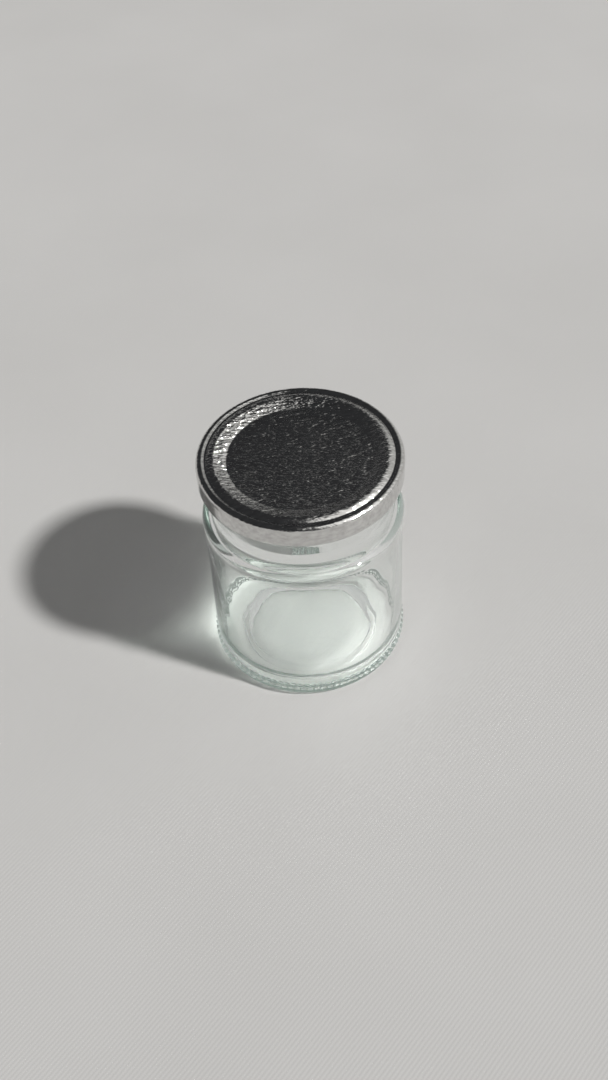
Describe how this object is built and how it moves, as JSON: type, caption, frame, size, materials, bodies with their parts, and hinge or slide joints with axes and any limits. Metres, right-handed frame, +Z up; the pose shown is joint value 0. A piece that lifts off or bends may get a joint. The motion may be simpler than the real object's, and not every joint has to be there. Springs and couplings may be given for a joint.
{
  "type": "spice jar",
  "caption": "Small round glass jar with a knurled heel and a silver tinplate twist-off cap that turns on lugs and lifts off the rim.",
  "frame": {"origin": "centre of the base circle, on the surface that the jar stands on", "axes": "+Z up along the jar's axis, towards the cap; +X through the middle of one cap lug with the cap seated"},
  "size_m": [0.0666, 0.0666, 0.0824],
  "materials": {
    "jar_glass": "clear moulded soda-lime glass, fire-polished, faintly green where it is thick",
    "seal_compound": "off-white cast plastisol, satin",
    "cap_tinplate": "bright tinplate under clear lacquer, with the fine streaks of the rolled sheet"
  },
  "bodies": {
    "jar": {"glass_jar": "jar_glass"},
    "seal": {"sealing_ring": "seal_compound"},
    "cap": {"cap_shell": "cap_tinplate"}
  },
  "joints": [
    {"name": "cap_lift", "type": "slide", "parent": "jar", "child": "seal", "axis": [0, 0, 1], "range_m": [0, 0.03]},
    {"name": "cap_turn", "type": "hinge", "parent": "seal", "child": "cap", "pos_m": [0, 0, 0.078], "axis": [0, 0, -1], "range_deg": [0, 46]}
  ]
}
